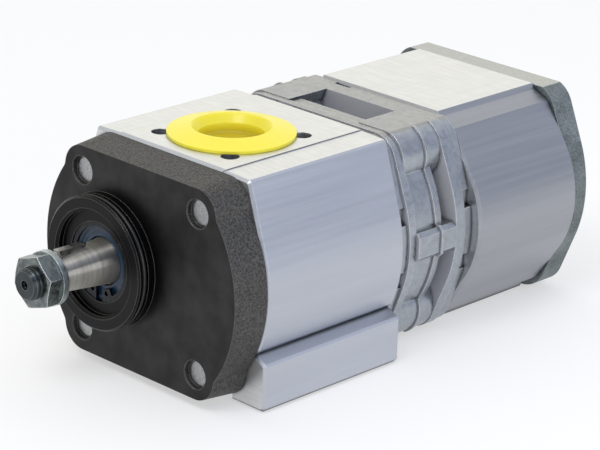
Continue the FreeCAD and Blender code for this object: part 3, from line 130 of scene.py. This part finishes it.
def edge_wear_and_highlight(tree, flat, worn_highlit_edge, width_mm):
    """A brighter colour along the edges, where the rounded normal leaves the surface's own: partly wear and
    partly a painted highlight.
    """
    rounded = add(tree, "ShaderNodeBevel", {"Radius": width_mm * MM}, samples=6)
    surface = add(tree, "ShaderNodeNewGeometry")
    sockets = {0: rounded.outputs["Normal"], 1: surface.outputs["Normal"]}
    agree = add(tree, "ShaderNodeVectorMath", sockets, operation="DOT_PRODUCT")
    sockets = {"Value": agree.outputs["Value"], "From Min": 0.998, "From Max": 0.93}
    edge = add(tree, "ShaderNodeMapRange", sockets)
    sockets = {0: edge.outputs["Result"], 6: flat, 7: linear(worn_highlit_edge)}
    return add(tree, "ShaderNodeMix", sockets, data_type="RGBA").outputs[2]


def painted_gap_shade(tree, own_colour, gap_shade_colour, reach_mm):
    """Painted shade: a darker colour in gaps and inner corners, where ambient occlusion finds little open
    sky.
    """
    gap = add(tree, "ShaderNodeAmbientOcclusion", {"Distance": reach_mm * MM}, samples=6)
    sockets = {"Value": gap.outputs["AO"], "From Min": 0.3, "From Max": 0.8}
    clear = add(tree, "ShaderNodeMapRange", sockets)
    sockets = {0: clear.outputs["Result"], 6: linear(gap_shade_colour), 7: own_colour}
    return add(tree, "ShaderNodeMix", sockets, data_type="RGBA").outputs[2]


def dress(material, *nodes):
    """Give one finish to CAD pieces by their node names."""
    for node in nodes:
        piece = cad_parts[node]
        piece.data.materials.clear()
        piece.data.materials.append(material)
    print(material.name, "->", ", ".join(nodes))


# %% [markdown]
# ## Machined cast iron
#
# The front cover is grey cast iron. Its mounting face and pilot are turned, which leaves a dark
# satin surface, darkest on the oiled pilot in front of the face. Its sides are left as cast:
# speckled, rough and a little lighter. One material serves all three, because the piece is one
# mesh: it reads the surface's own normal and the place along the shaft to tell them apart.


# %% Front cover
PILOT_AHEAD_OF_MM = -0.1


def machined_cast_iron():
    material, tree, shader, place = new_finish("machined_cast_iron", 1.0, 0.4)
    normal = add(tree, "ShaderNodeSeparateXYZ", {0: place.outputs["Normal"]})
    spot = add(tree, "ShaderNodeSeparateXYZ", {0: place.outputs["Object"]})
    facing = add(tree, "ShaderNodeMath", {0: normal.outputs["X"]}, operation="ABSOLUTE")
    flat = add(tree, "ShaderNodeMath", {0: facing.outputs[0], 1: ALONG_AXIS}, operation="GREATER_THAN")
    sockets = {0: spot.outputs["X"], 1: PILOT_AHEAD_OF_MM * MM}
    pilot = add(tree, "ShaderNodeMath", sockets, operation="LESS_THAN")
    turned = add(tree, "ShaderNodeMath", {0: flat.outputs[0], 1: pilot.outputs[0]}, operation="MAXIMUM")
    speckle = grain(tree, place, 0.7)
    cloud = grain(tree, place, 9.0)
    sockets = {0: speckle, 6: linear("#444342"), 7: linear("#696866")}
    cast = add(tree, "ShaderNodeMix", sockets, data_type="RGBA")
    sockets = {0: cloud, 6: linear("#302F30"), 7: linear("#3B3A3A")}
    dry = add(tree, "ShaderNodeMix", sockets, data_type="RGBA")
    sockets = {0: pilot.outputs[0], 6: dry.outputs[2], 7: linear("#242425")}
    face = add(tree, "ShaderNodeMix", sockets, data_type="RGBA")
    sockets = {0: turned.outputs[0], 6: cast.outputs[2], 7: face.outputs[2]}
    colour = add(tree, "ShaderNodeMix", sockets, data_type="RGBA")
    # The edges turn lighter: partly wear and partly a painted highlight.
    worn_highlit_edge = edge_wear_and_highlight(tree, colour.outputs[2], "#6C6C6A", 0.35)
    tree.links.new(worn_highlit_edge, shader.inputs["Base Color"])
    gloss = add(tree, "ShaderNodeMix", {0: turned.outputs[0], 2: 0.6, 3: 0.38})
    tree.links.new(gloss.outputs[0], shader.inputs["Roughness"])
    height = add(tree, "ShaderNodeMix", {0: turned.outputs[0], 2: speckle, 3: 0.5})
    relief(tree, shader, height.outputs[0], 0.07, 0.3)
    return material


dress(machined_cast_iron(), "front_cover")

# %% [markdown]
# ## Extruded aluminium
#
# Both pump bodies are sawn from an aluminium extrusion. The die leaves fine lines along the length,
# so the noise is drawn out forty times along the shaft's direction. What a cutter touched later is
# paler and finer: the level faces on top and the sawn ends, both told by their normal. The metal
# itself is nearly neutral. The rest of its blue cast comes from the cool side of the studio, which
# it mirrors.


# %% Front and rear bodies
def extruded_aluminium(name, dull, bright):
    material, tree, shader, place = new_finish(name, 1.0, 0.4)
    normal = add(tree, "ShaderNodeSeparateXYZ", {0: place.outputs["Normal"]})
    facing = add(tree, "ShaderNodeMath", {0: normal.outputs["X"]}, operation="ABSOLUTE")
    sawn = add(tree, "ShaderNodeMath", {0: facing.outputs[0], 1: ALONG_AXIS}, operation="GREATER_THAN")
    level = add(tree, "ShaderNodeMath", {0: normal.outputs["Z"], 1: LEVEL}, operation="GREATER_THAN")
    milled = add(tree, "ShaderNodeMath", {0: sawn.outputs[0], 1: level.outputs[0]}, operation="MAXIMUM")
    lines = grain(tree, place, 1.6, (0.025, 1, 1), 0.3, 0.7)
    bands = grain(tree, place, 9.0, (0.04, 1, 1), 0.3, 0.7)
    both = add(tree, "ShaderNodeMix", {0: 0.55, 2: lines, 3: bands})
    sockets = {0: both.outputs[0], 6: linear(dull), 7: linear(bright)}
    drawn = add(tree, "ShaderNodeMix", sockets, data_type="RGBA")
    cutter = grain(tree, place, 1.2, (1, 0.12, 1), 0.3, 0.7)
    sockets = {0: cutter, 6: linear("#D0D1D2"), 7: linear("#DADBDB")}
    face = add(tree, "ShaderNodeMix", sockets, data_type="RGBA")
    sockets = {0: milled.outputs[0], 6: drawn.outputs[2], 7: face.outputs[2]}
    colour = add(tree, "ShaderNodeMix", sockets, data_type="RGBA")
    # Painted shade: gaps and inner corners darken towards a dark grey, by ambient occlusion.
    tree.links.new(painted_gap_shade(tree, colour.outputs[2], "#3A3C40", 2.0), shader.inputs["Base Color"])
    gloss = add(tree, "ShaderNodeMix", {0: lines, 2: 0.36, 3: 0.46})
    tree.links.new(gloss.outputs[0], shader.inputs["Roughness"])
    height = add(tree, "ShaderNodeMix", {0: milled.outputs[0], 2: lines, 3: 0.5})
    relief(tree, shader, height.outputs[0], 0.008, 0.3)
    return material


dress(extruded_aluminium("extruded_aluminium", "#B6BAC2", "#C2C6CE"), "front_body")
dress(extruded_aluminium("extruded_aluminium_rear", "#989BA1", "#A9ABB0"), "rear_body")

# %% [markdown]
# ## Castings
#
# The middle housing is pressure die-cast, so its skin is smooth with a very fine tooth and slow,
# cloudy changes of tone where the melt cooled. The rear cover was blasted after casting and looks
# frosted: nearly no gloss, and a fine, even sparkle. Both are the same two noises in other sizes.
# Two things are told by the normal again. Level faces are cut and paler. The housing's inner faces,
# which look along the shaft, keep the dull, powdery skin of the mould, which is hardly metallic;
# the rear cover has none of it.


# %% Middle housing and rear cover
def cast_aluminium(name, dull, bright, level, worn_highlit_edge, powdery_from, size_mm, gloss_low, gloss_high, depth_mm):
    material, tree, shader, place = new_finish(name, 1.0, gloss_low)
    normal = add(tree, "ShaderNodeSeparateXYZ", {0: place.outputs["Normal"]})
    along = add(tree, "ShaderNodeMath", {0: normal.outputs["X"]}, operation="ABSOLUTE")
    inner = add(tree, "ShaderNodeMath", {0: along.outputs[0], 1: powdery_from}, operation="GREATER_THAN")
    upward = add(tree, "ShaderNodeMath", {0: normal.outputs["Z"]}, operation="ABSOLUTE")
    cut = add(tree, "ShaderNodeMath", {0: upward.outputs[0], 1: ALONG_AXIS}, operation="GREATER_THAN")
    fine = grain(tree, place, size_mm)
    cloud = grain(tree, place, 12.0)
    tone = add(tree, "ShaderNodeMix", {0: 0.45, 2: fine, 3: cloud})
    sockets = {0: tone.outputs[0], 6: linear(dull), 7: linear(bright)}
    skin = add(tree, "ShaderNodeMix", sockets, data_type="RGBA")
    sockets = {0: cut.outputs[0], 6: skin.outputs[2], 7: linear(level)}
    outside = add(tree, "ShaderNodeMix", sockets, data_type="RGBA")
    sockets = {0: inner.outputs[0], 6: outside.outputs[2], 7: linear("#B4B5BA")}
    colour = add(tree, "ShaderNodeMix", sockets, data_type="RGBA")
    # The edges turn lighter, partly wear and partly a painted highlight; then painted shade darkens gaps and
    # inner corners.
    lightened = edge_wear_and_highlight(tree, colour.outputs[2], worn_highlit_edge, 0.5)
    tree.links.new(painted_gap_shade(tree, lightened, "#2E3034", 2.0), shader.inputs["Base Color"])
    metal = add(tree, "ShaderNodeMix", {0: inner.outputs[0], 2: 0.9, 3: 0.2})
    tree.links.new(metal.outputs[0], shader.inputs["Metallic"])
    glossy = add(tree, "ShaderNodeMix", {0: fine, 2: gloss_low, 3: gloss_high})
    gloss = add(tree, "ShaderNodeMix", {0: inner.outputs[0], 2: glossy.outputs[0], 3: 0.6})
    tree.links.new(gloss.outputs[0], shader.inputs["Roughness"])
    relief(tree, shader, fine, depth_mm, 0.5)
    return material


MOSTLY_ALONG, NEVER = 0.8, 1.1
tones = ("#959AA0", "#ABB0B6", "#98999A", "#D6D8DA")
die_cast = cast_aluminium("die_cast_aluminium", *tones, MOSTLY_ALONG, 2.2, 0.26, 0.4, 0.02)
tones = ("#5B6464", "#959D9E", "#BCBDB8", "#A0A6A8")
blasted = cast_aluminium("blasted_aluminium", *tones, NEVER, 0.9, 0.5, 0.7, 0.06)
dress(die_cast, "middle_housing")
dress(blasted, "rear_cover")

# %% [markdown]
# ## Turned and ground steel
#
# Gears, bushes and blocks are turned. On the gears and blocks the fine marks run round them: the
# noise is drawn out across Y and Z and stays short along X; the bronze bushes get an even grain. They
# are hidden in the closed pump, and each still gets the metal it is made of, because the pump is also
# shown apart. The nut and washer are zinc plated: darker and a little cloudy, with a lighter colour
# along their edges that is partly wear and partly a painted highlight.


# %% A metal with marks
def steel(name, dull, bright, worn_highlit_edge, size_mm, stretch, gloss_low, gloss_high, depth_mm, edge_mm):
    material, tree, shader, place = new_finish(name, 1.0, gloss_low)
    marks = grain(tree, place, size_mm, stretch, 0.3, 0.7)
    sockets = {0: marks, 6: linear(dull), 7: linear(bright)}
    colour = add(tree, "ShaderNodeMix", sockets, data_type="RGBA")
    # The edges turn lighter: partly wear and partly a painted highlight.
    lightened = edge_wear_and_highlight(tree, colour.outputs[2], worn_highlit_edge, 2 * edge_mm)
    tree.links.new(lightened, shader.inputs["Base Color"])
    gloss = add(tree, "ShaderNodeMix", {0: marks, 2: gloss_low, 3: gloss_high})
    tree.links.new(gloss.outputs[0], shader.inputs["Roughness"])
    relief(tree, shader, marks, depth_mm, edge_mm)
    return material


round_marks = (1, 0.08, 0.08)
even = (1, 1, 1)
key_steel = steel("bright_key_steel", "#A5A5A4", "#C2C1BE", "#D8D7D4", 2.0, even, 0.25, 0.35, 0.003, 0.15)
dress(key_steel, "shaft_key")
zinc = steel("zinc_plate", "#545B5A", "#7D8483", "#D5DADA", 2.0, even, 0.2, 0.34, 0.008, 0.25)
dress(zinc, "hex_nut")
bright_zinc = steel("bright_zinc_plate", "#8E9799", "#AEB7B8", "#E2E6E6", 2.0, even, 0.25, 0.4, 0.008, 0.25)
dress(bright_zinc, "spring_washer")
bolt_steel = steel("turned_bolt_steel", "#8F9092", "#B2B3B4", "#C8C9C9", 1.0, even, 0.3, 0.42, 0.01, 0.2)
dress(bolt_steel, "tie_bolts")
ring_steel = steel("spring_steel", "#2A2B2D", "#3C3D40", "#5A5B5E", 2.0, even, 0.32, 0.45, 0.005, 0.1)
dress(ring_steel, "retaining_ring")
dress(
    steel("hardened_gear_steel", "#7C7D80", "#9C9DA0", "#BDBEC0", 0.8, round_marks, 0.22, 0.36, 0.004, 0.15),
    "front_driven_gear",
    "rear_drive_gear",
    "rear_driven_gear",
    "shaft_coupling",
    "dowel_pins",
)
blocks = [f"bearing_block_{i}" for i in range(1, 5)]
tones = ("#B4B6BA", "#CFD1D4", "#DDDEE0")
dress(steel("turned_bearing_aluminium", *tones, 1.0, round_marks, 0.3, 0.42, 0.004, 0.2), *blocks)
bushes = [f"bushes_{i}" for i in range(1, 5)]
dress(steel("sintered_bronze", "#9C7A45", "#BD9A5C", "#CDB078", 0.8, even, 0.35, 0.5, 0.01, 0.1), *bushes)

# %% [markdown]
# ## The ground shaft
#
# Grinding leaves rings so fine that they stretch every highlight along the shaft, which the
# shader's anisotropy gives, with its tangent laid round the X axis. The threaded stub and the
# shaft's end are dark with oil, and the thread's turns are a wave along the shaft.

# %% Drive shaft
THREAD_FROM_MM = -30.5
THREAD_PITCH_MM = 1.5


def ground_shaft():
    """Steel ground round its axis: its fine rings spread each highlight out along the shaft."""
    material, tree, shader, place = new_finish("ground_steel", 1.0, 0.37)
    around = add(tree, "ShaderNodeTangent", direction_type="RADIAL", axis="X")
    tree.links.new(around.outputs["Tangent"], shader.inputs["Tangent"])
    shader.inputs["Anisotropic"].default_value = 0.95
    shader.inputs["Anisotropic Rotation"].default_value = 0.25
    normal = add(tree, "ShaderNodeSeparateXYZ", {0: place.outputs["Normal"]})
    spot = add(tree, "ShaderNodeSeparateXYZ", {0: place.outputs["Object"]})
    ahead = add(tree, "ShaderNodeMath", {0: normal.outputs["X"], 1: -0.5}, operation="LESS_THAN")
    stub = add(tree, "ShaderNodeMath", {0: spot.outputs["X"], 1: THREAD_FROM_MM * MM}, operation="LESS_THAN")
    oiled = add(tree, "ShaderNodeMath", {0: ahead.outputs[0], 1: stub.outputs[0]}, operation="MAXIMUM")
    rings = grain(tree, place, 1.1, (1, 0.05, 0.05), 0.3, 0.7)
    sockets = {0: rings, 6: linear("#A5A29B"), 7: linear("#C0BDB6")}
    ground = add(tree, "ShaderNodeMix", sockets, data_type="RGBA")
    sockets = {0: oiled.outputs[0], 6: ground.outputs[2], 7: linear("#464C4E")}
    colour = add(tree, "ShaderNodeMix", sockets, data_type="RGBA")
    # The edges turn lighter: partly wear and partly a painted highlight.
    lightened = edge_wear_and_highlight(tree, colour.outputs[2], "#8E9496", 0.3)
    tree.links.new(lightened, shader.inputs["Base Color"])
    turns_per_metre = math.tau / 20 / (THREAD_PITCH_MM * MM)
    sockets = {"Vector": place.outputs["Object"], "Scale": turns_per_metre}
    turns = add(tree, "ShaderNodeTexWave", sockets, bands_direction="X")
    faint = add(tree, "ShaderNodeMath", {0: rings, 1: 0.001}, operation="MULTIPLY")
    sockets = {0: stub.outputs[0], 2: faint.outputs[0], 3: turns.outputs["Fac"]}
    height = add(tree, "ShaderNodeMix", sockets)
    relief(tree, shader, height.outputs[0], 0.3, 0.15)
    return material


dress(ground_shaft(), "drive_shaft")

# %% [markdown]
# ## Rubber and the plug
#
# The shaft seal is a deep blue rubber, the rings are black. The transport plug is moulded
# polyethylene: waxy, yellow all through, and it lets a little light in, which subsurface
# scattering gives. These are not metals, so their colour comes from inside the material.


# %% Seals and plug
def moulded(name, dull, bright, roughness, size_mm, depth_mm):
    material, tree, shader, place = new_finish(name, 0.0, roughness)
    mottle = grain(tree, place, size_mm)
    sockets = {0: mottle, 6: linear(dull), 7: linear(bright)}
    colour = add(tree, "ShaderNodeMix", sockets, data_type="RGBA")
    tree.links.new(colour.outputs[2], shader.inputs["Base Color"])
    shader.inputs["IOR"].default_value = 1.51
    relief(tree, shader, mottle, depth_mm, 0.3)
    return material


dress(moulded("blue_nitrile_rubber", "#0C2438", "#163A5A", 0.38, 1.5, 0.01), "shaft_seal")
black_rings = ["pilot_o_ring"] + [f"{kind}_seal_{i}" for kind in ("block", "section") for i in range(1, 5)]
dress(moulded("black_nitrile_rubber", "#131314", "#1D1D1E", 0.4, 1.5, 0.01), *black_rings)


# Painted shade on the plug: the yellow is darkest below the first height and lightens up to the second.
PAINTED_SHADE_BELOW_MM, PAINTED_SHADE_ENDS_ABOVE_MM = 37.0, 41.5


def yellow_plug():
    """Yellow all through, with painted shade: it is painted darker below a set height, towards the closed
    floor of its cup.
    """
    material, tree, shader, place = new_finish("yellow_polyethylene", 0.0, 0.34)
    spot = add(tree, "ShaderNodeSeparateXYZ", {0: place.outputs["Object"]})
    low, high = PAINTED_SHADE_BELOW_MM * MM, PAINTED_SHADE_ENDS_ABOVE_MM * MM
    sockets = {"Value": spot.outputs["Z"], "From Min": low, "From Max": high}
    height = add(tree, "ShaderNodeMapRange", sockets)
    sockets = {0: height.outputs["Result"], 6: linear("#AE9606"), 7: linear("#EDE03A")}
    colour = add(tree, "ShaderNodeMix", sockets, data_type="RGBA")
    tree.links.new(colour.outputs[2], shader.inputs["Base Color"])
    shader.inputs["IOR"].default_value = 1.51
    shader.inputs["Subsurface Weight"].default_value = 0.2
    shader.inputs["Subsurface Radius"].default_value = (1.0, 0.8, 0.2)
    shader.inputs["Subsurface Scale"].default_value = 1.5 * MM
    relief(tree, shader, grain(tree, place, 4.0), 0.01, 0.3)
    return material


dress(yellow_plug(), "inlet_plug")

# %% [markdown]
# ## Floor
#
# The pump stands on a plain white studio floor. The white of the background comes from the floor's
# own material: half of it glows at a strength of 1, for the camera and for what metal mirrors
# alike, and the other half is matte and keeps the pump's shadow. The floor lies a fifth of a
# millimetre below the feet, so that the two never share a plane.

# %% Floor
JUST_BELOW_MM = 0.2
FLOOR_WIDE = 8
GLOWING_SHARE = 0.5
floor_z = cad_box[0][2] - JUST_BELOW_MM * MM
bpy.ops.mesh.primitive_plane_add(size=FLOOR_WIDE, location=(0.08, -0.02, floor_z))
floor = bpy.context.object
floor.name = "studio_floor"
paper = bpy.data.materials.new("white_studio_floor")
paper.use_nodes = True
tree = paper.node_tree
tree.nodes.clear()
matte = add(tree, "ShaderNodeBsdfDiffuse", {"Color": linear("#F4F4F4")})
glow = add(tree, "ShaderNodeEmission", {"Color": linear("#FFFFFF"), "Strength": 1.0})
ray = add(tree, "ShaderNodeLightPath")
sockets = {0: ray.outputs["Is Camera Ray"], 1: ray.outputs["Is Glossy Ray"]}
direct = add(tree, "ShaderNodeMath", sockets, operation="MAXIMUM")
sockets = {0: direct.outputs[0], 1: ray.outputs["Is Transmission Ray"]}
shown = add(tree, "ShaderNodeMath", sockets, operation="MAXIMUM")
share = add(tree, "ShaderNodeMath", {0: shown.outputs[0], 1: GLOWING_SHARE}, operation="MULTIPLY")
sockets = {0: share.outputs[0], 1: matte.outputs["BSDF"], 2: glow.outputs["Emission"]}
white = add(tree, "ShaderNodeMixShader", sockets)
add(tree, "ShaderNodeOutputMaterial", {"Surface": white.outputs["Shader"]})
floor.data.materials.append(paper)
print("floor at", round(floor_z / MM, 1), "mm")

# %% [markdown]
# ## Surroundings
#
# Metal shows what is round it, so the surroundings matter more than the lamps: bright and a little
# warm above and to the left, which makes the top pads nearly white, cooler and dimmer to the right,
# which gives the body's side its blue-grey, and dimmest in front.

# %% World
world = bpy.data.worlds.new("studio_world")
bpy.context.scene.world = world
world.use_nodes = True
tree = world.node_tree
tree.nodes.clear()
direction = add(tree, "ShaderNodeTexCoord")
parts = add(tree, "ShaderNodeSeparateXYZ", {0: direction.outputs["Generated"]})
sockets = {"Value": parts.outputs["X"], "From Min": -0.8, "From Max": 0.3, "To Min": 0.55, "To Max": 1.0}
behind = add(tree, "ShaderNodeMapRange", sockets)
sockets = {"Value": parts.outputs["Y"], "From Min": -0.5, "From Max": 0.45, "To Min": 0.8, "To Max": 1.25}
left = add(tree, "ShaderNodeMapRange", sockets)
sockets = {0: behind.outputs["Result"], 1: left.outputs["Result"]}
walls = add(tree, "ShaderNodeMath", sockets, operation="MULTIPLY")
sockets = {"Value": parts.outputs["Z"], "From Min": 0.4, "From Max": 0.7, "To Min": 0.0, "To Max": 1.1}
ceiling = add(tree, "ShaderNodeMapRange", sockets)
sockets = {0: walls.outputs[0], 1: ceiling.outputs["Result"]}
bright = add(tree, "ShaderNodeMath", sockets, operation="MAXIMUM")
sockets = {"Value": parts.outputs["Y"], "From Min": -0.5, "From Max": 0.4}
warmth = add(tree, "ShaderNodeMapRange", sockets)
sockets = {0: warmth.outputs["Result"], 6: linear("#E0E7FA"), 7: linear("#FFFDF6")}
tint = add(tree, "ShaderNodeMix", sockets, data_type="RGBA")
soft = add(tree, "ShaderNodeBackground", {"Color": tint.outputs[2], "Strength": bright.outputs[0]})
add(tree, "ShaderNodeOutputWorld", {"Surface": soft.outputs[0]})
print("world:", len(tree.nodes), "nodes")

# %% [markdown]
# ## Lamps
#
# Two weak soft lamps add what the even surroundings lack: a low one on the right gives the shaft
# its streak, and a high one in front lifts the edges of the top.


# %% Lamps
def lamp(name, place, aim, size, watts):
    """A square area lamp at a place in metres, turned to aim at a point."""
    light = bpy.data.lights.new(name, "AREA")
    light.size = size
    light.energy = watts
    holder = bpy.data.objects.new(name, light)
    bpy.context.collection.objects.link(holder)
    holder.location = place
    holder.rotation_euler = (Vector(aim) - Vector(place)).to_track_quat("-Z", "Y").to_euler()
    return holder


middle = (0.08, -0.016, 0.0)
lamps = [
    lamp("side_softbox", (-0.1, -1.1, 0.26), middle, 0.6, 3),
    lamp("key_softbox", (-0.55, -0.2, 0.9), middle, 0.4, 3),
]
print("lamps:", [holder.name for holder in lamps])

# %% [markdown]
# ## Camera
#
# The photograph's camera was worked out from the pump's own geometry: the flange's square bolt
# pattern and the stack's edges fix the direction, the distance and the focal length. The picture
# is a crop, so the optical axis isn't at its middle, and the lens shift takes that up.

# %% Camera
AZIMUTH, ELEVATION, ROLL = math.radians(-46.49), math.radians(19.97), math.radians(1.98)
DISTANCE = 1.01808
FOCAL_PIXELS = 2684.5
PICTURE_WIDE, PICTURE_HIGH = 600, 450
CENTRE_U, CENTRE_V = 330.95, 206.78
SENSOR_MM = 36.0
target = Vector((0.100, -0.014, 0.0))
back = Vector(
    (
        math.sin(AZIMUTH) * math.cos(ELEVATION),
        -math.cos(AZIMUTH) * math.cos(ELEVATION),
        math.sin(ELEVATION),
    )
)
level = Vector((math.cos(AZIMUTH), math.sin(AZIMUTH), 0.0))
upright = back.cross(level)
right = math.cos(ROLL) * level + math.sin(ROLL) * upright
up = math.cos(ROLL) * upright - math.sin(ROLL) * level

lens = bpy.data.cameras.new("photo_camera")
lens.sensor_width = SENSOR_MM
lens.lens = FOCAL_PIXELS / PICTURE_WIDE * SENSOR_MM
lens.shift_x = -(CENTRE_U - PICTURE_WIDE / 2) / PICTURE_WIDE
lens.shift_y = (CENTRE_V - PICTURE_HIGH / 2) / PICTURE_WIDE
lens.clip_start = 0.05
camera = bpy.data.objects.new("photo_camera", lens)
bpy.context.collection.objects.link(camera)
turn = Matrix((right, up, back)).transposed().to_4x4()
camera.matrix_world = Matrix.Translation(target + DISTANCE * back) @ turn
bpy.context.scene.camera = camera
bpy.context.scene.view_settings.view_transform = "Standard"
print("lens", round(lens.lens, 1), "mm, shift", round(lens.shift_x, 4), round(lens.shift_y, 4))
